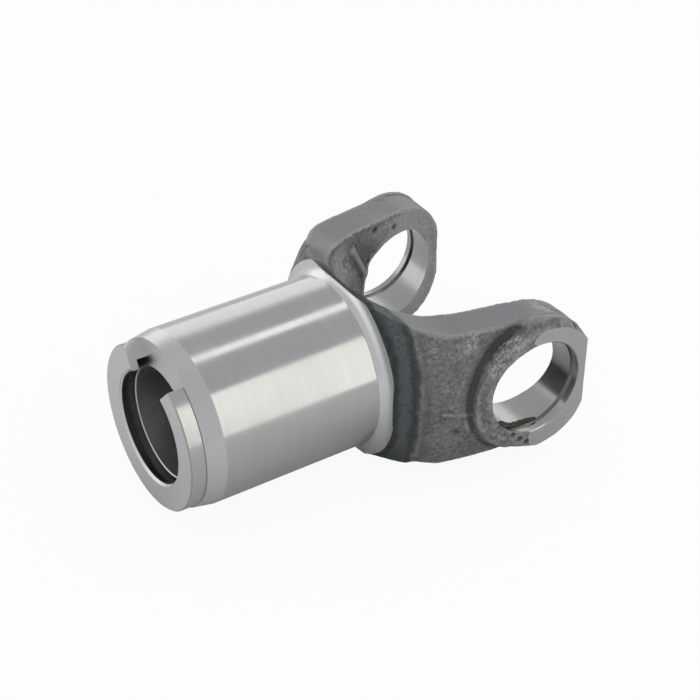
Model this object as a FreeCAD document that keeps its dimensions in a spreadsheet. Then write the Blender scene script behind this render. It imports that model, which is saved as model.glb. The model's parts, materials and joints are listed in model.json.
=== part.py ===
"""Forged yoke: one steel forging with a turned tubular hub and two bored fork ears.

Frame: the origin is where the hub axis crosses the axis of the ear bores.
+X runs along the hub axis out of the open fork, Y is the axis of the ear bores and +Z is up.
The yoke lies on its side, on its hub.  Every length is in millimetres.
"""

import FreeCAD, Part

import math
import os

import Sketcher

SHEET = "Dimensions"

SIZES = {
    # Turned hub, measured along X from the cross centre towards the hub end.
    "hub_end": 92.6,
    "lip_back": 88.4,
    "cone_back": 83.3,
    "barrel_front": 38.0,
    "lip_radius": 22.2,
    "cone_small_radius": 22.6,
    "barrel_radius": 23.5,
    "lip_chamfer": 0.5,
    "flare_radius": 2.0,
    "turning_clearance": 40.0,
    # Neck of the forging, where it is left unturned behind the flare.
    "neck_radius": 27.0,
    "neck_half_width": 26.0,
    "neck_half_height": 24.0,
    "neck_low": 23.6,
    "neck_front": 34.0,
    # Hub bore, its clip groove and the gap in its lip.
    "hub_bore_radius": 15.0,
    "hub_bore_bottom": 40.0,
    "hub_bore_chamfer": 0.6,
    "clip_groove_radius": 17.5,
    "clip_groove_back": 90.45,
    "notch_floor": 88.2,
    "notch_low": 8.8,
    "notch_high": 26.5,
    "notch_right_low": 4.7,
    "notch_right_high": 14.1,
    "notch_left_low": 2.9,
    "notch_left_high": 19.5,
    # Fork ears.
    "ear_bore_radius": 13.5,
    "ear_face": 39.4,
    "ring_groove_radius": 14.3,
    "ring_groove_inner": 35.9,
    "ring_groove_outer": 37.4,
    "boss_radius": 17.6,
    "boss_foot_radius": 19.8,
    "boss_foot": 36.0,
    "boss_offset": 0.8,
    "boss_low": 0.6,
    "facing_start": -2.4,
    "facing_drop": 1.3,
    # Side view of the forging: flanks, round eye and flat tip.
    "eye_radius": 19.7,
    "eye_middle": 7.0,
    "eye_middle_height": 18.4,
    "eye_end": 12.4,
    "eye_end_height": 15.1,
    "tip_round": 15.5,
    "tip_round_height": 10.2,
    "tip_half_height": 4.5,
    "tip_inner": 16.8,
    "tip_outer": 15.5,
    "flank_bend": 20.0,
    "flank_bend_height": 20.2,
    "flank_middle": 29.0,
    "flank_middle_height": 21.4,
    "low_root": 22.6,
    "low_middle_height": 20.5,
    "low_bend_height": 20.0,
    "rim": 36.0,
    "shoulder_front": 20.0,
    "shoulder_front_radius": 89.5,
    # Heights at which the forged faces reach the flank values given below.
    "outer_edge_height": 20.7,
    "throat_edge_height": 21.7,
    "loft_half_height": 25.0,
}

# Forged outer face of an ear in plan, (x, y): on the middle plane and along the flank's outer edge.
OUTER_MIDDLE = [(-40, 25.6), (-36, 25.8), (-33, 27.3), (-30.5, 29.8), (-26, 33.4), (-20, 35.8),
                (-12, 36.8), (0, 37.9), (18, 38.3)]
OUTER_EDGE = [(-40, 24.2), (-36, 24.2), (-33, 24.4), (-30, 25.6), (-26, 29.5), (-20, 32.3),
              (-12, 33.7), (0, 36.4), (18, 37.6)]

# Forged throat between the ears in plan, from its apex to the open end.
THROAT_MIDDLE = [(-29, 0), (-27.4, 7), (-24, 13.6), (-18.5, 18.8), (-12, 22), (-2, 23.4),
                 (6, 25.4), (10.5, 27.4), (20, 27.8)]
THROAT_EDGE = [(-34.6, 0), (-33, 7), (-30.6, 13.5), (-26.6, 18.4), (-19, 22), (-7, 25),
               (4, 26.8), (11, 27.5), (20, 27.8)]

LOFT_LEVELS = (-1.0, -0.5, 0.0, 0.5, 1.0)

X_TURN = FreeCAD.Rotation(FreeCAD.Vector(0, 1, 0), 90)
Y_TURN = FreeCAD.Rotation(FreeCAD.Vector(1, 0, 0), -90)


def make_sheet(doc):
    """The driving dimensions, one alias a row."""
    sheet = doc.addObject("Spreadsheet::Sheet", SHEET)
    for row, (name, value) in enumerate(SIZES.items(), start=1):
        sheet.set(f"A{row}", name)
        sheet.set(f"B{row}", str(value))
        sheet.setAlias(f"B{row}", name)
    doc.recompute()


def number(formula):
    """Value of a sum of dimensions such as 'barrel_radius + flare_radius'."""
    total, sign = 0.0, 1
    for word in formula.split():
        if word in "+-":
            sign = 1 if word == "+" else -1
        else:
            total += sign * SIZES[word] if word in SIZES else sign * float(word)
    return total


def bound(formula):
    """The same sum, written as an expression on the sheet's cells."""
    return " ".join(f"{SHEET}.{word}" if word in SIZES else word for word in formula.split())


def bind(target, **formulas):
    """Bind properties of an object to the sheet."""
    for name, formula in formulas.items():
        target.setExpression(name.replace("__", "."), bound(formula))


def body_sketch(doc, label, plane):
    """A body with an empty sketch on one of its own origin planes."""
    body = doc.addObject("PartDesign::Body", label)
    sketch = body.newObject("Sketcher::SketchObject", f"{label}_outline")
    origin = [item for item in body.Origin.OriginFeatures if item.Role == plane][0]
    sketch.AttachmentSupport = [(origin, "")]
    sketch.MapMode = "FlatFace"
    return body, sketch


def draw(sketch, corners, middles=None):
    """Closed outline through bound corners; middles[i] makes the side after corner i an arc."""
    middles = middles or {}
    places = [FreeCAD.Vector(number(a), number(b), 0) for a, b in corners]
    for index, start in enumerate(places):
        end = places[(index + 1) % len(places)]
        if index in middles:
            a, b = middles[index]
            via = FreeCAD.Vector(number(a), number(b), 0)
            clockwise = (via - start).cross(end - via).z < 0
            first, last = (end, start) if clockwise else (start, end)
            sketch.addGeometry(Part.Arc(first, via, last))
        else:
            sketch.addGeometry(Part.LineSegment(start, end))
    for index, (a, b) in enumerate(corners):
        before = (index - 1) % len(corners)
        first, last = ends(sketch, index, places[index]), ends(sketch, before, places[index])
        sketch.addConstraint(Sketcher.Constraint("Coincident", before, last, index, first))
        for kind, formula in (("DistanceX", a), ("DistanceY", b)):
            value = number(formula)
            mark = sketch.addConstraint(Sketcher.Constraint(kind, index, first, value))
            sketch.setExpression(f"Constraints[{mark}]", bound(formula))
    for index in middles:
        arc = sketch.Geometry[index]
        sketch.addConstraint(Sketcher.Constraint("Radius", index, arc.Radius))


def ends(sketch, index, place):
    """Which end of a sketch edge lies on a place: 1 is its start and 2 its end."""
    edge = sketch.Geometry[index]
    near = (edge.StartPoint - place).Length < (edge.EndPoint - place).Length
    return 1 if near else 2


def cylinder(doc, label, radius, start, length, turn):
    """Cylinder along X or Y from a bound start."""
    solid = doc.addObject("Part::Cylinder", label)
    solid.Placement = FreeCAD.Placement(FreeCAD.Vector(), turn)
    axis = "x" if turn is X_TURN else "y"
    bind(solid, Radius=radius, Height=length, **{f"Placement__Base__{axis}": start})
    return solid


def cone(doc, label, first_radius, last_radius, start, length, turn):
    """Cone along X or Y from a bound start."""
    solid = doc.addObject("Part::Cone", label)
    solid.Placement = FreeCAD.Placement(FreeCAD.Vector(), turn)
    axis = "x" if turn is X_TURN else "y"
    bind(solid, Radius1=first_radius, Radius2=last_radius, Height=length,
         **{f"Placement__Base__{axis}": start})
    return solid


def fuse(doc, label, shapes):
    """Union of several objects."""
    solid = doc.addObject("Part::MultiFuse", label)
    solid.Shapes = shapes
    return solid


def common(doc, label, shapes):
    """What several objects share."""
    solid = doc.addObject("Part::MultiCommon", label)
    solid.Shapes = shapes
    return solid


def cut(doc, label, base, tool):
    """One object less another."""
    solid = doc.addObject("Part::Cut", label)
    solid.Base = base
    solid.Tool = tool
    return solid


def plan_points(middle, edge, share):
    """Plan points of a crowned face: the crown falls off with the square of the height."""
    return [(a + (c - a) * share, b + (d - b) * share) for (a, b), (c, d) in zip(middle, edge)]


def smooth_edge(points, height):
    """Smooth curve through plan points at one height."""
    curve = Part.BSplineCurve()
    curve.interpolate([FreeCAD.Vector(x, y, height) for x, y in points])
    return curve.toShape()


def line_edge(first, last, height):
    """Straight edge between two plan points at one height."""
    return Part.makeLine(FreeCAD.Vector(*first, height), FreeCAD.Vector(*last, height))


def crowned_space(doc, label, middle, edge, edge_height, section):
    """Loft through the plan sections of a crowned face; no sketch feature holds such a face."""
    top = SIZES["loft_half_height"]
    wires = []
    for level in LOFT_LEVELS:
        height = level * top
        points = plan_points(middle, edge, (height / SIZES[edge_height]) ** 2)
        wires.append(Part.Wire(section(points, height)))
    feature = doc.addObject("Part::Feature", label)
    feature.Shape = Part.makeLoft(wires, True, False)
    return feature


def outer_section(points, height):
    """Both ears' outer faces, closed across the hub end and across the tip."""
    other = [(x, -y) for x, y in reversed(points)]
    return [
        smooth_edge(points, height),
        line_edge(points[-1], other[0], height),
        smooth_edge(other, height),
        line_edge(other[-1], points[0], height),
    ]


def throat_section(points, height):
    """The U between the ears, closed across the open end."""
    other = [(x, -y) for x, y in reversed(points)]
    curve = other[:-1] + points
    return [smooth_edge(curve, height), line_edge(curve[-1], curve[0], height)]


def make_side_outline(doc):
    """Side view of the forging, padded across both ears."""
    body, sketch = body_sketch(doc, "side_outline", "XZ_Plane")
    corners = [
        ("- barrel_front - flare_radius", "neck_half_height"),
        ("- rim", "neck_half_height"),
        ("- flank_bend", "flank_bend_height"),
        ("0", "eye_radius"),
        ("eye_end", "eye_end_height"),
        ("tip_inner", "tip_half_height"),
        ("tip_inner", "- tip_half_height"),
        ("eye_end", "- eye_end_height"),
        ("0", "- eye_radius"),
        ("- flank_bend", "- low_bend_height"),
        ("- rim", "- low_root"),
        ("- barrel_front - flare_radius", "- low_root"),
    ]
    draw(sketch, corners, {
        1: ("- flank_middle", "flank_middle_height"),
        3: ("eye_middle", "eye_middle_height"),
        4: ("tip_round", "tip_round_height"),
        6: ("tip_round", "- tip_round_height"),
        7: ("eye_middle", "- eye_middle_height"),
        9: ("- flank_middle", "- low_middle_height"),
    })
    pad = body.newObject("PartDesign::Pad", "side_outline_pad")
    pad.Profile = sketch
    pad.SideType = "Symmetric"
    pad.setExpression("Length", bound("ear_face") + " * 2")
    return body


def make_turning(doc):
    """Ring of metal that turning takes off the hub, down to the barrel and into the flare."""
    body, sketch = body_sketch(doc, "turning", "XZ_Plane")
    bend = SIZES["flare_radius"] * (1 - math.sqrt(0.5))
    corners = [
        ("- hub_end", "lip_radius - lip_chamfer"),
        ("- hub_end + lip_chamfer", "lip_radius"),
        ("- lip_back", "lip_radius"),
        ("- lip_back", "cone_small_radius"),
        ("- cone_back", "barrel_radius"),
        ("- barrel_front", "barrel_radius"),
        ("- barrel_front + flare_radius", "barrel_radius + flare_radius"),
        ("- barrel_front + flare_radius", "turning_clearance"),
        ("- hub_end", "turning_clearance"),
    ]
    middle = (f"- barrel_front + flare_radius - {bend:.4f}", f"barrel_radius + {bend:.4f}")
    draw(sketch, corners, {5: middle})
    ring = body.newObject("PartDesign::Revolution", "turning_ring")
    ring.Profile = sketch
    ring.ReferenceAxis = (sketch, ["H_Axis"])
    ring.Angle = 360
    return body


def make_notch(doc):
    """Gap in the lip at the top: one wall radial, the other leaning."""
    body, sketch = body_sketch(doc, "notch", "YZ_Plane")
    draw(sketch, [
        ("notch_right_low", "notch_low"),
        ("notch_right_high", "notch_high"),
        ("- notch_left_high", "notch_high"),
        ("- notch_left_low", "notch_low"),
    ])
    pad = body.newObject("PartDesign::Pad", "notch_pad")
    pad.Profile = sketch
    bind(pad, Length="hub_end - notch_floor + 2")
    bind(body, Placement__Base__x="- hub_end - 2")
    return body


def make_neck(doc):
    """Unturned stock of the hub: a round bar flattened on four sides."""
    length = "hub_end - neck_front"
    bar = cylinder(doc, "neck_bar", "neck_radius", "- hub_end", length, X_TURN)
    flats = doc.addObject("Part::Box", "neck_flats")
    bind(flats, Length=length, Placement__Base__x="- hub_end",
         Placement__Base__y="- neck_half_width", Placement__Base__z="- neck_low",
         Height="neck_half_height + neck_low")
    flats.setExpression("Width", bound("neck_half_width") + " * 2")
    return common(doc, "neck", [bar, flats])


def make_bosses(doc):
    """Raised ring of metal round each ear bore, a little nearer the tip."""
    bosses = []
    for side in (-1, 1):
        label = "boss_near" if side < 0 else "boss_far"
        length = "ear_face - boss_foot"
        first, last = ("boss_radius", "boss_foot_radius")
        start = "- ear_face"
        if side > 0:
            first, last, start = "boss_foot_radius", "boss_radius", "boss_foot"
        boss = cone(doc, label, first, last, start, length, Y_TURN)
        bind(boss, Placement__Base__x="boss_offset", Placement__Base__z="- boss_low")
        bosses.append(boss)
    return bosses


def leaning_block(doc, label, x, side, lean, size):
    """Block whose corner lies on an ear's outer face and whose near side leans by an angle."""
    solid = doc.addObject("Part::Box", label)
    solid.Length, solid.Width, solid.Height = size
    turn = FreeCAD.Rotation(FreeCAD.Vector(0, 0, 1), side * lean)
    place = FreeCAD.Vector(x, side * SIZES["ear_face"], -solid.Height.Value / 2)
    return solid, turn, place


def make_tip_cuts(doc):
    """Forging draft of each flat tip: the tip steps back towards the ear's outer face."""
    cuts = []
    reach = SIZES["ear_face"] - THROAT_MIDDLE[-1][1]
    lean = math.degrees(math.atan2(SIZES["tip_inner"] - SIZES["tip_outer"], reach))
    for side in (-1, 1):
        label = "tip_near" if side < 0 else "tip_far"
        block, turn, place = leaning_block(doc, label, SIZES["tip_outer"], side, lean, (10, 40, 60))
        place += turn.multVec(FreeCAD.Vector(0, -block.Width.Value / 2, 0))
        block.Placement = FreeCAD.Placement(place, turn)
        cuts.append(block)
    return cuts


def make_boss_slopes(doc):
    """Hub side of each boss, which falls away below the plane that the tip side is faced to."""
    cuts = []
    run = SIZES["ear_bore_radius"] + SIZES["facing_start"]
    lean = math.degrees(math.atan2(SIZES["facing_drop"], run))
    for side in (-1, 1):
        label = "slope_near" if side < 0 else "slope_far"
        block, turn, place = leaning_block(doc, label, SIZES["facing_start"], side, lean, (30, 10, 60))
        away = 0 if side > 0 else -block.Width.Value
        place += turn.multVec(FreeCAD.Vector(-block.Length.Value, away, 0))
        block.Placement = FreeCAD.Placement(place, turn)
        cuts.append(block)
    return cuts


def make_bores(doc):
    """Ear bores with their snap-ring grooves, and the hub bore with its clip groove."""
    tools = []
    bore = cylinder(doc, "ear_bores", "ear_bore_radius", "- ear_face - 1", "1", Y_TURN)
    bore.setExpression("Height", bound("ear_face") + " * 2 + 2")
    tools.append(bore)
    width = "ring_groove_outer - ring_groove_inner"
    for label, start in (("ring_groove_near", "- ring_groove_outer"),
                         ("ring_groove_far", "ring_groove_inner")):
        tools.append(cylinder(doc, label, "ring_groove_radius", start, width, Y_TURN))
    tools.append(cylinder(doc, "hub_bore", "hub_bore_radius", "- hub_end - 1",
                          "hub_end - hub_bore_bottom + 1", X_TURN))
    tools.append(cylinder(doc, "clip_groove", "clip_groove_radius", "- clip_groove_back",
                          "clip_groove_back - notch_floor", X_TURN))
    wide = "hub_bore_radius + hub_bore_chamfer"
    tools.append(cone(doc, "hub_bore_mouth", wide, "hub_bore_radius", "- hub_end",
                      "hub_bore_chamfer", X_TURN))
    return tools


def make_yoke(doc):
    """The whole forging, then everything machined off it."""
    outer = crowned_space(doc, "outer_faces", OUTER_MIDDLE, OUTER_EDGE,
                          "outer_edge_height", outer_section)
    throat = crowned_space(doc, "throat", THROAT_MIDDLE, THROAT_EDGE,
                           "throat_edge_height", throat_section)
    ears = fuse(doc, "ears_with_bosses", [outer] + make_bosses(doc))
    shoulder = cone(doc, "shoulder", "neck_radius", "shoulder_front_radius", "- rim",
                    "rim + shoulder_front", X_TURN)
    trimmed = common(doc, "ears_trimmed", [ears, make_side_outline(doc), shoulder])
    stock = fuse(doc, "forging_stock", [trimmed, make_neck(doc)])
    tools = [throat, make_turning(doc), make_notch(doc)]
    tools += make_tip_cuts(doc) + make_boss_slopes(doc) + make_bores(doc)
    yoke = cut(doc, "yoke_cut", stock, fuse(doc, "removed_metal", tools))
    yoke.Label = "yoke"
    return yoke


def check(doc, parts):
    """Stop before anything is written if a feature or a sub-part failed."""
    for item in doc.Objects:
        if {"Invalid", "Error"} & set(item.State):
            raise RuntimeError(f"{item.Label} failed: {item.State}")
    for part in parts:
        shape = part.Shape
        if shape.isNull() or not shape.isValid() or len(shape.Solids) != 1:
            raise RuntimeError(f"{part.Label} is not one valid solid")
        box = shape.BoundBox
        print(part.Label, "volume", round(shape.Volume), "mm3, box",
              [round(v, 2) for v in (box.XMin, box.XMax, box.YMin, box.YMax, box.ZMin, box.ZMax)])


def main():
    doc = FreeCAD.newDocument("forged_yoke")
    make_sheet(doc)
    parts = [make_yoke(doc)]
    doc.recompute()
    check(doc, parts)
    os.makedirs("parts", exist_ok=True)
    for part in parts:
        part.Shape.exportStep(f"parts/{part.Label}.step")


main()
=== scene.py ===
"""Finish of a forged yoke: forging skin, turned hub and bored ears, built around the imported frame.

Lengths are in millimetres until a mesh is made, and MM turns them into metres.
The hub axis is X, the axis of the ear bores is Y and the yoke lies on its hub.
The near ear is on the -Y side, with its outer face to the camera, and the far ear is on the +Y side.
"""

import json
import math

import bmesh
import bpy
import numpy as np
from mathutils import Matrix, Vector, noise
from mathutils.bvhtree import BVHTree


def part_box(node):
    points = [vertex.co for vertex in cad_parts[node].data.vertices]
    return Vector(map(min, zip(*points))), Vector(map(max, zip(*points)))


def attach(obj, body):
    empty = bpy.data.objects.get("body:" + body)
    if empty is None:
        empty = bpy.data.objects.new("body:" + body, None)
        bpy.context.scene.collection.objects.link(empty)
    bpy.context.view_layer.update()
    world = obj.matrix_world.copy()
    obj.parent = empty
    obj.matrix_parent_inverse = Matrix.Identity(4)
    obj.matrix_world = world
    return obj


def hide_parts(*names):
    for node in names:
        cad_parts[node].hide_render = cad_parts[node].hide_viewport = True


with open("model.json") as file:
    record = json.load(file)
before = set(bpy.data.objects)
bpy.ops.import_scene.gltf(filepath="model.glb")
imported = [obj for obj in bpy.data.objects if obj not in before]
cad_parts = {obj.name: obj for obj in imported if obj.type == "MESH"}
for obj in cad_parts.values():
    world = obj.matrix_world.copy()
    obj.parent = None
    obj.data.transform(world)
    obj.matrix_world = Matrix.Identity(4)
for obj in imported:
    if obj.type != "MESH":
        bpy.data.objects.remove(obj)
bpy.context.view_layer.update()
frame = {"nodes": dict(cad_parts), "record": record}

MM = 0.001

NODE_LOW, NODE_HIGH = [[value / MM for value in corner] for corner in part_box("yoke")]
MOUNTS = {mount["name"]: mount for mount in frame["record"]["mounts"]}

# Sizes that the frame carries.
EAR_BORE = MOUNTS["ear_bores"]["dims"]["r_mm"]
HUB_BORE = MOUNTS["hub_bore"]["dims"]["r_mm"]
HUB_BORE_LENGTH = MOUNTS["hub_bore"]["dims"]["length_mm"]
HUB_BORE_MIDDLE = MOUNTS["hub_bore"]["pos_m"][0] / MM
BARREL = MOUNTS["hub_barrel"]["dims"]["r_mm"]
HUB_END = NODE_LOW[0]
TIP = NODE_HIGH[0]
EAR_FACE = NODE_HIGH[1]
NECK_TOP = NODE_HIGH[2]
FLOOR = NODE_LOW[2]

# Turned hub, along X.
NOTCH_FLOOR = HUB_BORE_MIDDLE - HUB_BORE_LENGTH / 2
HUB_BORE_BOTTOM = HUB_BORE_MIDDLE + HUB_BORE_LENGTH / 2
LIP_BACK = -88.4
CONE_BACK = -83.3
BARREL_FRONT = -38.0
LIP_RADIUS = 22.2
CONE_SMALL = 22.6
LIP_CHAMFER = 0.3
FLARE = 2.0
FLARE_START = BARREL_FRONT - 0.3
FLARE_RUN = 2.9
FLARE_RISE = 3.7
CLIP_GROOVE = 17.5
CLIP_GROOVE_BACK = -90.45
BORE_CHAMFER = 0.6

# Unturned neck of the forging.
NECK_RADIUS = 27.0
NECK_HALF_WIDTH = 26.0
NECK_FRONT = -35.2
NECK_RIM = -36.35

# Ears, along Y.
RING_GROOVE = 14.3
RING_GROOVE_INNER = 35.9
RING_GROOVE_OUTER = 37.4
BOSS_CENTRE = (0.8, -0.6)
BOSS_FOOT_RADIUS = 19.5
CREST_RADIUS = 20.2
VALLEY_RADIUS = 20.6
FACING_START = -2.4

# Marks that forging left: ridges (path, width, height) and spots (centre, width, height).
RIDGES = [
    # Ridge in the far ear's throat, and the trough beside it.
    ([(-17.6, 21.3, 15.3), (-15.5, 21.4, 11.3), (-13.2, 21.8, 6.7)], 1.3, 1.0),
    ([(-14.4, 23.2, 16.5), (-12.0, 23.0, 12.0), (-10.4, 23.2, 8.0)], 2.1, -0.4),
    # Swelling at the root of the near ear, and a scratch on its arm.
    ([(-30.4, -25.7, 19.9), (-30.0, -29.0, 10.7), (-30.1, -30.2, 1.1), (-29.8, -27.4, -16.8)], 1.2, 0.35),
    ([(-25.3, -33.7, -1.8), (-19.0, -35.9, -3.0)], 0.7, 0.18),
    # Crease over the near ear's tip, and the flash beside its pits.
    ([(7.0, -29.4, 18.4), (10.4, -33.6, 16.7), (11.9, -38.0, 14.8)], 1.0, -0.3),
    ([(-12.9, -39.1, -10.3), (-9.7, -39.4, -13.1)], 0.8, 0.5),
    # Dent at the root of the far ear, and the full foot of the near boss.
    ([(-33.9, 21.8, 19.6), (-32.3, 21.2, 22.6)], 1.2, -0.5),
    ([(-17.5, -37.0, -5.0), (-14.5, -37.5, -12.0), (-9.0, -37.5, -17.0)], 2.0, 0.5),
]
SPOTS = [
    ((-6.4, -39.2, -12.8), 0.7, -0.5),
    ((-4.4, -39.2, -14.8), 0.8, -0.5),
    ((-2.2, -39.2, -16.3), 0.7, -0.4),
    ((-21.3, 19.1, 14.2), 1.2, -0.35),
    ((-8.3, 24.0, 17.8), 0.9, -0.5),
    ((-1.3, 24.9, 16.0), 0.8, -0.4),
    ((-22.0, -34.0, -8.0), 1.2, -0.35),
    ((-25.0, -32.5, 6.0), 1.4, 0.3),
]

# Torn lip of scale inside the near ear's bore: its thickness and its path.
BURR_SIZE = 0.72
BURR = [(-10.2, -37.6, -8.2), (-8.2, -37.0, -10.2), (-5.2, -36.0, -12.0), (-1.7, -35.3, -13.0),
        (2.2, -35.7, -12.9)]

# Metal left on the forging where a tool will cut.
HUB_STOCK_RADIUS = 26.0
BOSS_STOCK_RADIUS = 14.9
BOSS_STOCK_INNER = 33.5
BOSS_STOCK_OUTER = 37.9
BOSS_RAISE = 0.9
BORE_STOCK = 0.6
TOOL_RADIUS = 45.0
OVERRUN = 3.0

# Fineness of the meshes.
LATHE_STEPS = 288
STOCK_STEPS = 96
FLARE_STEPS = 18
BURR_STEPS = 14
VOXEL = 0.42
BURR_VOXEL = 0.2
TOUCHING = 0.012 * MM
CLEARANCE = 0.02

# Edges sharper than this, in degrees, stay crisp.
CRISP_CUT = 7
CRISP_SKIN = 50

# Camera and lamps.
CAMERA_PLACE = (-257.28, -338.21, 288.45)
CAMERA_TURN = (54.718, -0.464, -33.326)
CAMERA_LENS = 96.81
LAMP_HEIGHT = FLOOR + 400
FLOOR_RADIUS = 4000

# What the metal sees round it, and the light on the dull skin.
SKY_BEFORE = (0.62, 0.63, 0.65)
SKY_BEHIND = (1.25, 1.26, 1.27)
SKY_OVERHEAD = (0.6, 0.61, 0.63)
SKY_DIFFUSE = (0.86, 0.88, 0.9)
WHITE = (1.0, 1.0, 1.0)


# ---------------------------------------------------------------- mesh tools

def mesh_object(name, bm):
    """A linked object made from a bmesh whose places are in millimetres."""
    bmesh.ops.scale(bm, vec=(MM, MM, MM), verts=bm.verts)
    mesh = bpy.data.meshes.new(name)
    bm.to_mesh(mesh)
    bm.free()
    thing = bpy.data.objects.new(name, mesh)
    bpy.context.collection.objects.link(thing)
    return thing


def lathe(name, profile, axis="X", steps=LATHE_STEPS):
    """Closed solid turned from (along, radius) points; radius 0 closes an end on the axis."""
    bm = bmesh.new()
    rings = []
    for along, radius in profile:
        ring = []
        for step in range(steps if radius else 1):
            angle = 2 * math.pi * (step + 0.5) / steps
            ring.append(bm.verts.new(turned(along, radius, angle, axis)))
        rings.append(ring)
    closed = profile[0][1] > 0
    pairs = list(zip(rings, rings[1:] + rings[:1])) if closed else list(zip(rings, rings[1:]))
    for first, second in pairs:
        for step in range(steps):
            after = (step + 1) % steps
            corners = []
            for ring, index in ((first, step), (first, after), (second, after), (second, step)):
                vert = ring[index] if len(ring) > 1 else ring[0]
                if vert not in corners:
                    corners.append(vert)
            bm.faces.new(corners)
    bmesh.ops.recalc_face_normals(bm, faces=bm.faces)
    return mesh_object(name, bm)


def turned(along, radius, angle, axis):
    """Place of a point turned about the X or the Y axis."""
    across, up = radius * math.sin(angle), radius * math.cos(angle)
    return (along, across, up) if axis == "X" else (across, along, up)


def prism(name, outline, start, end):
    """Closed solid along X from an outline of (y, z) points."""
    bm = bmesh.new()
    first = [bm.verts.new((start, y, z)) for y, z in outline]
    last = [bm.verts.new((end, y, z)) for y, z in outline]
    bm.faces.new(first)
    bm.faces.new(last)
    for index in range(len(outline)):
        after = (index + 1) % len(outline)
        bm.faces.new((first[index], first[after], last[after], last[index]))
    bmesh.ops.recalc_face_normals(bm, faces=bm.faces)
    return mesh_object(name, bm)


def block(name, low, high):
    """Closed box between two corners."""
    outline = [(low[1], low[2]), (high[1], low[2]), (high[1], high[2]), (low[1], high[2])]
    return prism(name, outline, low[0], high[0])


def joined(name, things):
    """One object that holds the meshes of several."""
    bm = bmesh.new()
    for thing in things:
        bm.from_mesh(thing.data)
        bpy.data.objects.remove(thing)
    mesh = bpy.data.meshes.new(name)
    bm.to_mesh(mesh)
    bm.free()
    whole = bpy.data.objects.new(name, mesh)
    bpy.context.collection.objects.link(whole)
    return whole


def applied(thing):
    """Replace an object's mesh by what its modifiers make."""
    graph = bpy.context.evaluated_depsgraph_get()
    mesh = bpy.data.meshes.new_from_object(thing.evaluated_get(graph))
    thing.modifiers.clear()
    thing.data = mesh
    return thing


def combined(thing, other, operation):
    """Boolean of two closed meshes; the second object is used up."""
    step = thing.modifiers.new(operation, "BOOLEAN")
    step.operation = operation
    step.solver = "MANIFOLD"
    step.object = other
    applied(thing)
    bpy.data.objects.remove(other)
    return thing


def remeshed(thing, size):
    """Even skin over a closed mesh or several overlapping ones."""
    step = thing.modifiers.new("skin", "REMESH")
    step.mode = "VOXEL"
    step.voxel_size = size * MM
    return applied(thing)


# ---------------------------------------------------------------- the forging

def ear_stock():
    """Rough ears and neck: the frame's solid, with metal left on wherever a tool will cut."""
    node = frame["nodes"]["yoke"]
    bm = bmesh.new()
    bm.from_mesh(node.data)
    bmesh.ops.remove_doubles(bm, verts=bm.verts, dist=1e-6)
    bmesh.ops.scale(bm, vec=(1 / MM, 1 / MM, 1 / MM), verts=bm.verts)
    ears = mesh_object("ear_stock", bm)
    reach = NODE_HIGH[1] + 10
    hub_side = block("hub_side", (HUB_END - 10, -reach, -reach), (BARREL_FRONT - OVERRUN, reach, reach))
    combined(ears, hub_side, "DIFFERENCE")
    outline = []
    for step in range(STOCK_STEPS):
        angle = 2 * math.pi * step / STOCK_STEPS
        sine, cosine = math.sin(angle), math.cos(angle)
        height = NECK_TOP if cosine > 0 else -FLOOR
        radius = min(NECK_RADIUS, NECK_HALF_WIDTH / max(abs(sine), 1e-6), height / max(abs(cosine), 1e-6))
        outline.append((radius * sine, radius * cosine))
    pieces = [ears, prism("neck_stock", outline, BARREL_FRONT - 5, NECK_FRONT)]
    for side in (-1, 1):
        sleeve = [
            (side * BOSS_STOCK_INNER, EAR_BORE - 1),
            (side * BOSS_STOCK_OUTER, EAR_BORE - 1),
            (side * BOSS_STOCK_OUTER, BOSS_STOCK_RADIUS),
            (side * BOSS_STOCK_INNER, BOSS_STOCK_RADIUS),
        ]
        pieces.append(lathe("sleeve", sleeve, "Y", steps=STOCK_STEPS))
    return joined("forging", pieces)


def read_places(mesh, what="co"):
    """Places (in millimetres) or normals of a mesh's vertices."""
    values = np.empty(len(mesh.vertices) * 3)
    mesh.vertices.foreach_get(what, values)
    values = values.reshape(-1, 3)
    return values / MM if what == "co" else values


def write_places(mesh, places):
    """Put places (in millimetres) on a mesh's vertices."""
    mesh.vertices.foreach_set("co", (places * MM).ravel())
    mesh.update()


def worked_forging():
    """The forging's skin: rounded edges, uneven faces, scale and pits, before any machining."""
    forging = remeshed(ear_stock(), VOXEL)
    mesh = forging.data
    places = rough_bores(rounded(mesh, read_places(mesh), 3))
    places += soft_share(places) * (relaxed(mesh, places, 36) - places)
    write_places(mesh, places)
    normals = read_places(mesh, "normal")
    places += normals * skin_height(places, normals)[:, None]
    places[:, 1] += boss_stock(places)
    places[:, 0] = np.minimum(places[:, 0], TIP - CLEARANCE)
    places[:, 2] = np.clip(places[:, 2], FLOOR + CLEARANCE, NECK_TOP - CLEARANCE)
    write_places(mesh, places)
    return forging


def rough_bores(places):
    """Places with the ears' bores drawn in a little, so that the boring tool meets metal all round."""
    reach = np.hypot(places[:, 0], places[:, 2])
    inside = (reach < RING_GROOVE + 0.2) & (np.abs(places[:, 1]) > 18)
    shrink = np.where(inside, (reach - BORE_STOCK) / np.maximum(reach, 1), 1.0)
    places[:, 0] *= shrink
    places[:, 2] *= shrink
    return places


def soft_share(places):
    """1 where the forging is rounder than the rest: the upper tip and the lower foot of each boss."""
    x, y, z = places.T
    upper_tip = ramp(x, -7, 0) * ramp(np.abs(y), 33, 35) * ramp(z, 9, 13)
    lower_foot = ramp(-x, -2, 3) * ramp(np.abs(y), 30, 33) * ramp(-z, 6, 10)
    return np.maximum(upper_tip, lower_foot)[:, None]


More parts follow.
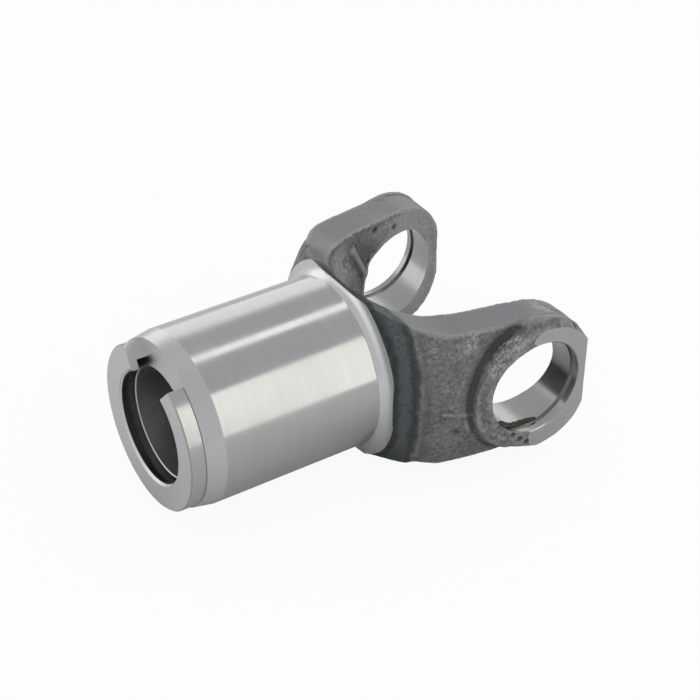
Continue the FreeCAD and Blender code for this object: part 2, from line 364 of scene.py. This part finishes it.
def boss_stock(places):
    """Metal that stands outwards on the tip side of each boss, for the facing tool to cut."""
    x, y, z = places.T
    raised = ramp(x, FACING_START - 1.0, FACING_START + 5) * ramp(np.abs(y), 37.4, 38.8)
    return np.sign(y) * raised * BOSS_RAISE


def neighbour_mean(mesh):
    """A function that gives the middle of each vertex's neighbours."""
    edges = np.empty(len(mesh.edges) * 2, dtype=np.int64)
    mesh.edges.foreach_get("vertices", edges)
    first, second = edges.reshape(-1, 2).T
    count = len(mesh.vertices)
    degree = np.maximum(np.bincount(edges, minlength=count), 1)[:, None]

    def mean(places):
        total = np.zeros_like(places)
        for column in range(3):
            total[:, column] += np.bincount(first, places[second, column], count)
            total[:, column] += np.bincount(second, places[first, column], count)
        return total / degree

    return mean


def rounded(mesh, places, rounds):
    """Places evened out along the mesh, shrinking and growing in turn."""
    mean = neighbour_mean(mesh)
    for share in (0.6, -0.53) * rounds:
        places = places + share * (mean(places) - places)
    return places


def relaxed(mesh, places, rounds):
    """Places drawn towards the middle of their neighbours, which shrinks what stands out."""
    mean = neighbour_mean(mesh)
    for share in (0.6,) * rounds:
        places = places + share * (mean(places) - places)
    return places


def ramp(values, low, high):
    """Soft step from 0 at low to 1 at high."""
    share = np.clip((values - low) / (high - low), 0, 1)
    return share * share * (3 - 2 * share)


def hill(values, middle, width):
    """Bell curve of a value about its middle."""
    return np.exp(-((values - middle) / width) ** 2)


def spot(places, centre, width):
    """Bell-shaped patch about a point."""
    return hill(np.linalg.norm(places - np.array(centre), axis=1), 0, width)


def trail(places, path, width):
    """Bell-shaped ridge along a chain of points."""
    best = np.full(len(places), 1e9)
    for start, end in zip(path, path[1:]):
        start, run = np.array(start), np.array(end) - np.array(start)
        share = np.clip((places - start) @ run / (run @ run), 0, 1)
        best = np.minimum(best, np.linalg.norm(places - start - share[:, None] * run, axis=1))
    return hill(best, 0, width)


def grain(places, scale, shift=0.0):
    """Smooth noise, about -1 to 1, at each place."""
    return np.array([noise.noise(Vector(place) * scale + Vector((shift, 7, shift))) for place in places])


def boss_radius_at(places):
    """Distance of each place from the middle line of the bosses."""
    return np.hypot(places[:, 0] - BOSS_CENTRE[0], places[:, 2] - BOSS_CENTRE[1])


def outer_side(places, normals):
    """1 on the outer faces of the ears."""
    return ramp(normals[:, 1] * np.sign(places[:, 1]), 0.0, 0.25) * ramp(np.abs(places[:, 1]), 31, 33.5)


def valley(places, normals):
    """Groove that the forging die left round the hub side of each boss."""
    hub_side = ramp(-places[:, 0], 0, 8) * ramp(places[:, 2], -9, 5)
    return hill(boss_radius_at(places), VALLEY_RADIUS, 1.5) * outer_side(places, normals) * hub_side


def skin_height(places, normals):
    """How far the forged skin stands off the plain shape at each place."""
    x, y, z = places.T
    outer, reach = outer_side(places, normals), boss_radius_at(places)
    heights = 0.2 * grain(places, 0.075) + 0.13 * grain(places, 0.27, 11) + 0.055 * grain(places, 0.9, 3)
    flank = ramp(np.abs(normals[:, 2]), 0.8, 0.93)
    heights *= 1 - 0.65 * flank
    heights -= 0.3 * valley(places, normals)
    fall = ramp(reach, 14.8, BOSS_FOOT_RADIUS) * (1 - ramp(reach, BOSS_FOOT_RADIUS, 21.5))
    heights -= 0.5 * fall * outer * ramp(-x, 2, 8)
    heights += 0.55 * hill(reach, CREST_RADIUS, 1.7) * outer * ramp(x, -5, 3)
    rim = ramp(reach, 13, 14) * (1 - ramp(reach, 18.4, 19.4)) * ramp(np.abs(y), 36, 37) * ramp(-x, 2, 4)
    heights += rim * 0.1 * grain(places, 0.45, 23)
    for path, width, height in RIDGES:
        heights += height * trail(places, path, width)
    for centre, width, height in SPOTS:
        heights += height * spot(places, centre, width)
    return heights


# ---------------------------------------------------------------- machining

def turning_tool():
    """Ring of metal turned off the hub, into the flare."""
    profile = [
        (HUB_END, LIP_RADIUS - LIP_CHAMFER),
        (HUB_END + LIP_CHAMFER, LIP_RADIUS),
        (LIP_BACK, LIP_RADIUS),
        (LIP_BACK, CONE_SMALL),
        (CONE_BACK, BARREL),
    ]
    for step in range(FLARE_STEPS + 1):
        angle = math.radians(90 * step / FLARE_STEPS)
        along = BARREL_FRONT + FLARE - FLARE_RUN * (1 - math.sin(angle))
        profile.append((along, BARREL + FLARE_RISE * (1 - math.cos(angle))))
    profile += [
        (BARREL_FRONT + FLARE, TOOL_RADIUS),
        (HUB_END - OVERRUN, TOOL_RADIUS),
        (HUB_END - OVERRUN, LIP_RADIUS - LIP_CHAMFER),
    ]
    return lathe("turned_hub", profile)


def hub_bore_tool():
    """Blind bore of the hub, with its mouth chamfer and clip groove."""
    soft = 0.25
    return lathe("hub_bore", [
        (HUB_END - OVERRUN, 0),
        (HUB_END - OVERRUN, HUB_BORE + BORE_CHAMFER),
        (HUB_END, HUB_BORE + BORE_CHAMFER),
        (HUB_END + BORE_CHAMFER, HUB_BORE),
        (CLIP_GROOVE_BACK, HUB_BORE),
        (CLIP_GROOVE_BACK, CLIP_GROOVE),
        (NOTCH_FLOOR, CLIP_GROOVE),
        (NOTCH_FLOOR, HUB_BORE + soft),
        (NOTCH_FLOOR + soft, HUB_BORE),
        (HUB_BORE_BOTTOM - 2, HUB_BORE),
        (HUB_BORE_BOTTOM, HUB_BORE - 2),
        (HUB_BORE_BOTTOM, 0),
    ])


def notch_tool():
    """Gap in the lip at the top: one wall radial, the other leaning."""
    outline = [(4.7, 8.8), (14.1, 26.5), (-19.5, 26.5), (-2.9, 8.8)]
    return prism("notch", outline, HUB_END - OVERRUN, NOTCH_FLOOR)


def ear_bore_tool(side):
    """Bore of one ear with its ring groove and the broken edge at its face."""
    soft = 0.3
    profile = [
        (8, 0),
        (8, EAR_BORE),
        (RING_GROOVE_INNER, EAR_BORE),
        (RING_GROOVE_INNER, RING_GROOVE),
        (RING_GROOVE_OUTER, RING_GROOVE),
        (RING_GROOVE_OUTER, EAR_BORE),
        (EAR_FACE - soft, EAR_BORE),
        (EAR_FACE, EAR_BORE + soft),
        (EAR_FACE + OVERRUN, EAR_BORE + soft),
        (EAR_FACE + OVERRUN, 0),
    ]
    return lathe("ear_bore", [(side * y, r) for y, r in profile], "Y")


def burr():
    """Torn lip of scale that the boring tool left inside the near ear."""
    path = [Vector(point) for point in BURR]
    bm = bmesh.new()
    for start, end in zip(path, path[1:]):
        for step in range(BURR_STEPS):
            middle = start.lerp(end, step / BURR_STEPS)
            wander = Vector((noise.noise(middle * 1.9), noise.noise(middle * 2.3), noise.noise(middle * 1.3)))
            size = BURR_SIZE + 0.4 * noise.noise(middle * 3.1)
            place = Matrix.Translation(middle + 0.5 * wander) @ Matrix.Diagonal((1.3, 1.0, 0.6, 1))
            bmesh.ops.create_icosphere(bm, subdivisions=2, radius=size, matrix=place)
    return remeshed(mesh_object("burr", bm), BURR_VOXEL)


def facing_tool(side):
    """Block that faces one ear's boss."""
    y = sorted((side * EAR_FACE, side * (EAR_FACE + 6)))
    return block("ear_face", (-40, y[0], -40), (40, y[1], 40))


def surface_of(thing):
    """Search tree over an object's faces."""
    bm = bmesh.new()
    bm.from_mesh(thing.data)
    surface = BVHTree.FromBMesh(bm)
    bm.free()
    return surface


def machined_yoke():
    """The forging with its hub stock, cut by each tool; returns it and each tool's surface."""
    yoke = worked_forging()
    back = BARREL_FRONT - 2
    hub = [(HUB_END, 0), (HUB_END, HUB_STOCK_RADIUS), (back, HUB_STOCK_RADIUS), (back, 0)]
    combined(yoke, lathe("hub_stock", hub, steps=64), "UNION")
    tools = [
        ("turned_steel", turning_tool()),
        # The hub bore's finish is a lighter copy of cut steel: painted light inside the bore.
        ("bore_steel_painted_bright", hub_bore_tool()),
        ("notch_walls_painted_bright", notch_tool()),
    ]
    for side in (-1, 1):
        tools.append(("ear_bore_steel", ear_bore_tool(side)))
        tools.append(("ear_face_steel", facing_tool(side)))
    surfaces = []
    for finish, tool in tools:
        surfaces.append((finish, surface_of(tool)))
        combined(yoke, tool, "DIFFERENCE")
    torn = burr()
    surfaces.append(("burnt_scale", surface_of(torn)))
    combined(yoke, torn, "UNION")
    yoke.name = "yoke_finished"
    return yoke, surfaces


def finish_of(face, surfaces):
    """Name of a face's finish, from the tool that cut it and from its place."""
    finish = "forged_skin"
    along = face.center.x
    if abs(along - HUB_END * MM) < TOUCHING:
        finish = "lip_steel"
    for name, surface in surfaces:
        if surface.find_nearest(face.center, TOUCHING)[0] is not None:
            finish = name
    if finish == "turned_steel" and along < (HUB_END + LIP_CHAMFER) * MM - TOUCHING:
        return "edge_steel"
    if finish == "forged_skin" and along < NECK_RIM * MM:
        finish = "turned_steel"
    # The flare gets a lighter, rougher copy of the turned steel: painted light where it would show the grey
    # overhead.
    if finish == "turned_steel" and along > FLARE_START * MM:
        return "flare_steel_painted_bright"
    if finish == "turned_steel" and LIP_BACK * MM < along < CONE_BACK * MM:
        return "cone_steel"
    # The bore before the clip groove and the groove's walls get a dark copy of the bore steel, painted shade;
    # its mouth takes the lip's finish.
    if finish == "bore_steel_painted_bright" and along < (NOTCH_FLOOR - 0.01) * MM:
        mouth = along < (HUB_END + BORE_CHAMFER) * MM - TOUCHING
        return "lip_steel" if mouth else "groove_painted_shade"
    # The notch floor takes the lip's finish; its walls keep a lighter copy of cut steel, a painted
    # reflection.
    if finish == "notch_walls_painted_bright" and abs(face.normal.x) > 0.5:
        return "lip_steel"
    return finish


def finish_faces(yoke, surfaces, materials):
    """Give each face the finish of the tool that cut it, or of the forging."""
    mesh = yoke.data
    mesh.materials.clear()
    names = list(materials)
    for name in names:
        mesh.materials.append(materials[name])
    for face in mesh.polygons:
        face.material_index = names.index(finish_of(face, surfaces))
    mesh.shade_smooth()
    crisp_edges(mesh, names.index("forged_skin"))


def crisp_edges(mesh, skin):
    """Sharp edges wherever a tool left one; the forged skin stays smooth."""
    bm = bmesh.new()
    bm.from_mesh(mesh)
    for edge in bm.edges:
        cut = any(face.material_index != skin for face in edge.link_faces)
        edge.smooth = edge.calc_face_angle(0) < math.radians(CRISP_CUT if cut else CRISP_SKIN)
    bm.to_mesh(mesh)
    bm.free()


def add_value(mesh, name, values):
    """A named number on each vertex, for the materials."""
    layer = mesh.attributes.new(name, "FLOAT", "POINT")
    layer.data.foreach_set("value", np.clip(values, 0, 1).astype(np.float32))


class Skin:
    """The yoke's vertices, with the noise and the places that its marks follow."""

    def __init__(self, mesh):
        self.places, self.normals = read_places(mesh), read_places(mesh, "normal")
        self.x, self.y, self.z = self.places.T
        self.uneven, self.fine = grain(self.places, 0.35, 5), grain(self.places, 1.1, 9)
        self.edge = self.x + 0.6 * self.uneven
        self.standing = np.einsum("ij,ij->i", self.places - relaxed(mesh, self.places, 4), self.normals)
        self.broken = ramp(self.uneven + 0.5 * self.fine, -0.6, 0.0)
        inner_face = ramp(-self.normals[:, 1] * np.sign(self.y), 0.5, 0.8)
        self.inner_tip = ramp(self.x, -6, 3) * inner_face
        far_flank = ramp(self.y, 8, 13) * ramp(self.z, 16, 18) * ramp(-self.x, -6, 0) * ramp(self.x, -32, -30)
        self.crest = far_flank * ramp(self.standing, 0.05, 0.14) * self.broken


def flank_marks(skin):
    """1 on the smooth flanks and on the inner faces of the tips."""
    flank = ramp(np.abs(skin.normals[:, 2]), 0.72, 0.93) * ramp(skin.x, -33, -30)
    return np.maximum(flank, 0.85 * skin.inner_tip)


def root_band_marks(skin):
    """Bluish band round the root of the ears, partly a tint and partly painted shade of the concave root,
    with painted shade in the creases at its borders and darker towards the bottom; both are weaker on the far
    ear's top.
    """
    far_top = ramp(skin.y, 4, 14) * ramp(skin.z, 6, 14)
    # Painted shade: the concave root is darkened in its colour, with a bluish tint.
    root_tint_and_shade = (1 - ramp(skin.edge, -30.8, -30.0)) * (1 - 0.8 * far_top)
    # Painted shade in the creases at the band's borders, and darker towards the bottom of the root.
    root_painted_shade = np.maximum(hill(skin.edge, -35.3, 1.0), 0.7 * hill(skin.edge, -31.4, 0.7))
    root_painted_shade = np.maximum(root_painted_shade, 0.45 * ramp(-skin.z, 8, 18) * (1 - ramp(skin.edge, -31, -30)))
    return root_tint_and_shade, root_painted_shade * (1 - 0.85 * far_top)


def wear_and_shading_marks(skin):
    """Above a half where the skin is rubbed bright on what stands out, with spots of painted light on the far
    ear; below a half, painted shade in the hollows.
    """
    # Painted light: spots on the far ear's throat, root and inner tip are lightened where the near ear shades
    # them; the crest is a worn edge.
    rubbed_and_lit = 0.34 * spot(skin.places, (-24, 17, 14), 6) + 0.15 * spot(skin.places, (-6, 25, 17), 5)
    rubbed_and_lit += 0.3 * spot(skin.places, (-34.5, 22, 18), 4.5) + 0.3 * skin.inner_tip * ramp(skin.y, 10, 20)
    rubbed_and_lit += 0.6 * skin.crest + 0.3 * spot(skin.places, (-29, 13, 15), 4)
    return 0.5 + skin.standing * (7 + 3 * skin.fine) + rubbed_and_lit * (1 + 0.5 * skin.fine)


def scale_and_painted_light_marks(skin):
    """Where pale scale is caked on the skin; the pale patches in the far ear's throat and on its inner tip
    are painted light.
    """
    places = skin.places
    patches = 0.45 * spot(places, (-27, -29.7, 18), 3.2) + 0.9 * spot(places, (-18, -33.7, 17.4), 3.6)
    patches += 1.5 * trail(places, [(-6, -38.6, 16), (-10, -38.4, 13.2), (-13, -38.2, 9.8)], 2.3)
    patches += 0.5 * spot(places, (-23, -33, -12), 3.5) + 0.5 * spot(places, (-12, 22, 18), 3)
    patches += 1.0 * spot(places, (6, -31, 18.6), 3.5) + 2.0 * skin.crest
    # Painted light: the far ear's inner tip and throat are lightened where the near ear shades them.
    patches += 0.5 * skin.inner_tip * ramp(skin.y, 10, 20)
    patches += 0.75 * spot(places, (-23, 18, 13), 5) + 0.4 * spot(places, (-4, 25, 17.5), 3)
    return ramp(patches * (1 + 0.7 * skin.fine) + 0.25 * skin.uneven - 0.12, 0.25, 0.75)


def shade_marks(skin):
    """Painted shade in the die's groove, in the pits, in the trough of the far ear's throat, on the far flank
    near the root and under the far ear's upper edge.
    """
    places, across, up = skin.places, skin.normals[:, 1], skin.normals[:, 2]
    shade = np.maximum(valley(places, skin.normals), 0.6 * spot(places, (-9.6, 23, 13.0), 2.6))
    pits = [(centre, width * 1.2) for centre, width, height in SPOTS if height < 0]
    shade = np.maximum(shade, 0.8 * sum(spot(places, centre, width) for centre, width in pits))
    shade = np.maximum(shade, 0.6 * spot(places, (-31.0, 17, 21.8), 3.0) * ramp(up, 0.6, 0.9))
    inner = ramp(skin.y, 8, 13) * ramp(-across, 0.2, 0.4) * ramp(-skin.x, -5, 0) * ramp(skin.z, 10, 14)
    below = inner * hill(skin.z, 18.8 - 0.05 * skin.x, 0.45) * (1 - ramp(up, 0.5, 0.8))
    return np.maximum(shade, 0.8 * below * skin.broken) * (1 + 0.4 * skin.fine)


def add_marks(yoke):
    """Where the skin is smooth, tinted blue with painted shade at the root, rubbed bright, caked with scale,
    stained, lightened with painted light on the far ear and darkened with painted shade in hollows and pits.
    """
    skin = Skin(yoke.data)
    root_tint_and_shade, root_painted_shade = root_band_marks(skin)
    marks = {
        "flank": flank_marks(skin),
        "root_tint_and_shade": root_tint_and_shade,
        "root_painted_shade": root_painted_shade,
        "wear_and_painted_shading": wear_and_shading_marks(skin),
        "scale": scale_and_painted_light_marks(skin),
        "shade": shade_marks(skin),
        "rust": 0.2 * hill(skin.edge, -29.4, 0.9) * (1 + 0.6 * skin.fine),
    }
    for name, values in marks.items():
        add_value(yoke.data, name, values)


# ---------------------------------------------------------------- finishes

def new_material(name):
    """A material with its Principled shader and its links."""
    material = bpy.data.materials.new(name)
    material.use_nodes = True
    tree = material.node_tree
    return material, tree, tree.nodes["Principled BSDF"]


def add_node(tree, kind, **values):
    """A node with its properties and inputs set by name."""
    node = tree.nodes.new(kind)
    for name, value in values.items():
        if hasattr(node, name):
            setattr(node, name, value)
        else:
            node.inputs[name.replace("_", " ")].default_value = value
    return node


def value_of(tree, name):
    """The named number on the mesh."""
    return add_node(tree, "ShaderNodeAttribute", attribute_name=name).outputs["Fac"]


def blend(tree, fac, first, second):
    """Mix of two colours, each a colour or a socket."""
    mix = add_node(tree, "ShaderNodeMix", data_type="RGBA")
    for socket, value in ((mix.inputs[0], fac), (mix.inputs[6], first), (mix.inputs[7], second)):
        if isinstance(value, bpy.types.NodeSocket):
            tree.links.new(value, socket)
        elif isinstance(value, tuple):
            socket.default_value = (*value, 1)
        else:
            socket.default_value = value
    return mix.outputs[2]


def spread(tree, value, low, high, to_low=0.0, to_high=1.0):
    """A number carried from one range to another and held there."""
    step = add_node(tree, "ShaderNodeMapRange", clamp=True)
    tree.links.new(value, step.inputs["Value"])
    for name, number in (("From Min", low), ("From Max", high), ("To Min", to_low), ("To Max", to_high)):
        step.inputs[name].default_value = number
    return step.outputs["Result"]


def texture(tree, scale, detail=2.0, roughness=0.5):
    """Noise in the object's own coordinates."""
    coords = add_node(tree, "ShaderNodeTexCoord").outputs["Object"]
    field = add_node(tree, "ShaderNodeTexNoise", Scale=scale, Detail=detail, Roughness=roughness)
    tree.links.new(coords, field.inputs["Vector"])
    return field.outputs["Fac"]


def new_group(name, outputs):
    """A node group with its output sockets."""
    group = bpy.data.node_groups.new(name, "ShaderNodeTree")
    for label, kind in outputs:
        group.interface.new_socket(label, in_out="OUTPUT", socket_type=kind)
    return group, group.nodes.new("NodeGroupOutput")


def use_group(tree, group):
    """The outputs of a node group placed in a material."""
    node = add_node(tree, "ShaderNodeGroup")
    node.node_tree = group
    return node.outputs


def turning_marks(name, axis):
    """Fine rings that a cutter leaves about an axis, on round and flat faces: a normal and a value."""
    group, out = new_group(name, [("Normal", "NodeSocketVector"), ("Value", "NodeSocketFloat")])
    place = add_node(group, "ShaderNodeTexCoord").outputs["Object"]
    parts = add_node(group, "ShaderNodeSeparateXYZ")
    group.links.new(place, parts.inputs[0])
    flat = add_node(group, "ShaderNodeVectorMath", operation="MULTIPLY")
    group.links.new(place, flat.inputs[0])
    flat.inputs[1].default_value = (0, 1, 1) if axis == "X" else (1, 0, 1)
    reach = add_node(group, "ShaderNodeVectorMath", operation="LENGTH")
    group.links.new(flat.outputs[0], reach.inputs[0])
    track = add_node(group, "ShaderNodeCombineXYZ")
    group.links.new(parts.outputs[axis], track.inputs[0])
    group.links.new(reach.outputs["Value"], track.inputs[1])
    fields = []
    for scale in (5200.0, 420.0):
        field = add_node(group, "ShaderNodeTexNoise", Scale=scale, Detail=3.0, Roughness=0.6)
        group.links.new(track.outputs[0], field.inputs["Vector"])
        fields.append(field.outputs["Fac"])
    bump = add_node(group, "ShaderNodeBump", Strength=0.12, Distance=0.000012)
    group.links.new(fields[0], bump.inputs["Height"])
    group.links.new(bump.outputs["Normal"], out.inputs["Normal"])
    group.links.new(spread(group, fields[1], 0.3, 0.7), out.inputs["Value"])
    return group


def speckle():
    """Fine pepper of light and dark grains: a value and the normal of its relief."""
    group, out = new_group("speckle", [("Value", "NodeSocketFloat"), ("Normal", "NodeSocketVector")])
    fine = texture(group, 1500.0, 4.0, 0.75)
    bump = add_node(group, "ShaderNodeBump", Strength=0.55, Distance=0.00016)
    group.links.new(texture(group, 750.0, 5.0, 0.7), bump.inputs["Height"])
    group.links.new(bump.outputs["Normal"], out.inputs["Normal"])
    group.links.new(spread(group, fine, 0.32, 0.68), out.inputs["Value"])
    return group


def product(tree, first, second):
    """Two numbers multiplied."""
    step = add_node(tree, "ShaderNodeMath", operation="MULTIPLY")
    tree.links.new(first, step.inputs[0])
    tree.links.new(second, step.inputs[1])
    return step.outputs[0]


def forged_skin(pepper):
    """Scaly forging skin: smooth flanks, bright wear with painted light on the far ear, painted shade in
    hollows and pits, a bluish root band with painted shade, and pale scale.
    """
    material, tree, shader = new_material("forged_skin")
    grains = use_group(tree, pepper)
    flank, wear_and_painted_shading, shade = value_of(tree, "flank"), value_of(tree, "wear_and_painted_shading"), value_of(tree, "shade")
    blotch = spread(tree, texture(tree, 150.0, 3.0, 0.6), 0.35, 0.68)
    caked_and_lit = product(tree, value_of(tree, "scale"), spread(tree, grains["Value"], 0.3, 0.8))
    color = blend(tree, blotch, (0.122, 0.120, 0.113), (0.176, 0.175, 0.168))
    layers = [
        (flank, (0.185, 0.192, 0.196)),
        # Rubbed bright and painted light above, painted shade in the hollows below.
        (spread(tree, wear_and_painted_shading, 0.5, 0.85), (0.26, 0.26, 0.255)),
        (spread(tree, wear_and_painted_shading, 0.48, 0.2), (0.055, 0.052, 0.048)),
        # Painted shade: the bluish, darker root band and its darker creases.
        (value_of(tree, "root_tint_and_shade"), (0.082, 0.093, 0.096)),
        (value_of(tree, "root_painted_shade"), (0.022, 0.030, 0.028)),
        # Painted shade in the groove, the pits and under the far ear's edge.
        (spread(tree, shade, 0.0, 1.0, 0.0, 0.75), (0.05, 0.048, 0.044)),
        # Pale scale, and painted light on the far ear's throat and inner tip.
        (caked_and_lit, (0.36, 0.34, 0.33)),
        (value_of(tree, "rust"), (0.16, 0.105, 0.07)),
    ]
    for mask, tint in layers:
        color = blend(tree, mask, color, tint)
    patches = spread(tree, texture(tree, 95.0, 2.0), 0.38, 0.62, 0.4, 1.0)
    speckled = add_node(tree, "ShaderNodeMix", data_type="RGBA", blend_type="MULTIPLY", clamp_factor=False)
    tree.links.new(product(tree, patches, spread(tree, flank, 0, 1, 1.0, 0.15)), speckled.inputs[0])
    tree.links.new(color, speckled.inputs[6])
    tree.links.new(spread(tree, grains["Value"], 0, 1, 0.5, 1.5), speckled.inputs[7])
    tree.links.new(speckled.outputs[2], shader.inputs["Base Color"])
    tree.links.new(spread(tree, flank, 0, 1, 0.56, 0.42), shader.inputs["Roughness"])
    tree.links.new(grains["Normal"], shader.inputs["Normal"])
    shader.inputs["Metallic"].default_value = 0.35
    return material


def burnt_scale(pepper):
    """Dark brown scale of the burr."""
    material, tree, shader = new_material("burnt_scale")
    grains = use_group(tree, pepper)
    color = blend(tree, grains["Value"], (0.016, 0.010, 0.007), (0.085, 0.052, 0.036))
    tree.links.new(color, shader.inputs["Base Color"])
    tree.links.new(grains["Normal"], shader.inputs["Normal"])
    shader.inputs["Roughness"].default_value = 0.6
    return material


def machined_steel(name, color, roughness, marks, pepper=None):
    """Bare cut steel with its lathe rings and, where it is rough, a pepper of grains."""
    material, tree, shader = new_material(name)
    rings = use_group(tree, marks)
    light = tuple(min(1.0, value * 1.05) for value in color)
    shade = blend(tree, rings["Value"], color, light)
    shade = blend(tree, value_of(tree, "rust"), shade, (0.10, 0.055, 0.03))
    if pepper:
        grains = use_group(tree, pepper)
        shade = blend(tree, spread(tree, grains["Value"], 0, 1, 0.0, 0.22), shade, (0.16, 0.155, 0.15))
        tree.links.new(grains["Normal"], shader.inputs["Normal"])
    else:
        tree.links.new(rings["Normal"], shader.inputs["Normal"])
    tree.links.new(shade, shader.inputs["Base Color"])
    smudge = spread(tree, texture(tree, 70.0, 3.0), 0.35, 0.65, roughness * 0.85, roughness * 1.3)
    tree.links.new(smudge, shader.inputs["Roughness"])
    shader.inputs["Metallic"].default_value = 1.0
    return material


def make_finishes():
    """Every finish of the yoke by its name."""
    hub, ear, pepper = turning_marks("hub_marks", "X"), turning_marks("ear_marks", "Y"), speckle()
    return {
        "forged_skin": forged_skin(pepper),
        "turned_steel": machined_steel("turned_steel", (0.49, 0.49, 0.485), 0.15, hub),
        # Lighter copy of the turned steel: painted light on the flare.
        "flare_steel_painted_bright": machined_steel("flare_steel_painted_bright", (0.68, 0.68, 0.68), 0.27, hub),
        "cone_steel": machined_steel("cone_steel", (0.58, 0.58, 0.575), 0.24, hub),
        "edge_steel": machined_steel("edge_steel", (0.38, 0.37, 0.26), 0.3, hub),
        # Lighter copy of cut steel: a painted reflection on the notch walls.
        "notch_walls_painted_bright": machined_steel("notch_walls_painted_bright", (0.72, 0.71, 0.68), 0.25, hub),
        "burnt_scale": burnt_scale(pepper),
        "lip_steel": machined_steel("lip_steel", (0.69, 0.69, 0.69), 0.34, hub, pepper),
        "ear_bore_steel": machined_steel("ear_bore_steel", (0.42, 0.42, 0.41), 0.22, ear),
        "ear_face_steel": machined_steel("ear_face_steel", (0.48, 0.48, 0.48), 0.36, ear, pepper),
        # Dark copy of the bore steel: painted shade in the front of the bore and the clip groove.
        "groove_painted_shade": machined_steel("groove_painted_shade", (0.13, 0.13, 0.12), 0.35, hub),
        # Lighter copy of cut steel: painted light inside the hub bore.
        "bore_steel_painted_bright": machined_steel("bore_steel_painted_bright", (0.62, 0.61, 0.59), 0.35, hub),
    }


# ---------------------------------------------------------------- the studio

def make_camera():
    """Camera above the hub's end, on the side of the near ear."""
    data = bpy.data.cameras.new("camera")
    data.lens = CAMERA_LENS
    data.sensor_width = 36.0
    data.clip_start = 0.01
    camera = bpy.data.objects.new("camera", data)
    camera.location = Vector(CAMERA_PLACE) * MM
    camera.rotation_euler = [math.radians(angle) for angle in CAMERA_TURN]
    bpy.context.collection.objects.link(camera)
    bpy.context.scene.camera = camera


def make_floor(height):
    """Pale floor under the yoke, white to the eye but for the yoke's shadow."""
    bm = bmesh.new()
    bmesh.ops.create_circle(bm, cap_ends=True, radius=FLOOR_RADIUS, segments=64)
    bmesh.ops.translate(bm, vec=(0, 0, height), verts=bm.verts)
    floor = mesh_object("floor", bm)
    material, tree, shader = new_material("floor_paint")
    shader.inputs["Base Color"].default_value = (0.72, 0.72, 0.72, 1)
    shader.inputs["Roughness"].default_value = 0.9
    shader.inputs["Specular IOR Level"].default_value = 0.0
    glow = add_node(tree, "ShaderNodeEmission", Strength=1.0)
    mix = add_node(tree, "ShaderNodeMixShader")
    tree.links.new(seen_rays(tree, 0.93), mix.inputs[0])
    tree.links.new(shader.outputs[0], mix.inputs[1])
    tree.links.new(glow.outputs[0], mix.inputs[2])
    tree.links.new(mix.outputs[0], tree.nodes["Material Output"].inputs["Surface"])
    floor.data.materials.append(material)


def make_lamp(name, place, target, along, width, height, power, color=(1, 1, 1)):
    """Area lamp that looks at a target, its width lying along a direction."""
    data = bpy.data.lights.new(name, "AREA")
    data.shape = "RECTANGLE"
    data.size = width * MM
    data.size_y = height * MM
    data.energy = power
    data.color = color
    lamp = bpy.data.objects.new(name, data)
    back = (Vector(place) - Vector(target)).normalized()
    side = Vector(along)
    side = (side - side.dot(back) * back).normalized()
    turn = Matrix((side, back.cross(side), back)).transposed()
    lamp.matrix_world = Matrix.Translation(Vector(place) * MM) @ turn.to_4x4()
    bpy.context.collection.objects.link(lamp)


def seen_rays(tree, share):
    """A share for the rays that the eye sends, and 0 for the rest."""
    rays = add_node(tree, "ShaderNodeLightPath").outputs
    return spread(tree, rays["Is Camera Ray"], 0, 1, 0, share)


def make_world():
    """White to the eye; for the metal, bright low down behind the yoke and grey overhead."""
    world = bpy.data.worlds.new("studio")
    world.use_nodes = True
    bpy.context.scene.world = world
    tree = world.node_tree
    background = tree.nodes["Background"]
    split = add_node(tree, "ShaderNodeSeparateXYZ")
    tree.links.new(add_node(tree, "ShaderNodeTexCoord").outputs["Generated"], split.inputs[0])
    low = blend(tree, spread(tree, split.outputs["Y"], -0.6, 0.7), SKY_BEFORE, SKY_BEHIND)
    sky = blend(tree, spread(tree, split.outputs["Z"], 0.46, 0.62), low, SKY_OVERHEAD)
    rays = add_node(tree, "ShaderNodeLightPath").outputs
    sky = blend(tree, rays["Is Diffuse Ray"], sky, SKY_DIFFUSE)
    tree.links.new(blend(tree, rays["Is Camera Ray"], sky, WHITE), background.inputs["Color"])
    background.inputs["Strength"].default_value = 1.0


def main():
    bpy.context.scene.view_settings.view_transform = "Standard"
    make_camera()
    yoke, surfaces = machined_yoke()
    add_marks(yoke)
    finish_faces(yoke, surfaces, make_finishes())
    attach(yoke, "root")
    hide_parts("yoke")
    make_floor(FLOOR)
    make_world()
    make_lamp("softbox", place=(321, -597, LAMP_HEIGHT), target=(-60, -10, LAMP_HEIGHT),
              along=(0.84, 0.55, 0), width=375, height=800, power=0.87, color=(1.0, 0.968, 0.87))
    make_lamp("strip", place=(270, 130, 706), target=(-60, -8, 20),
              along=(1, 0, 0), width=400, height=125, power=0.17)


main()
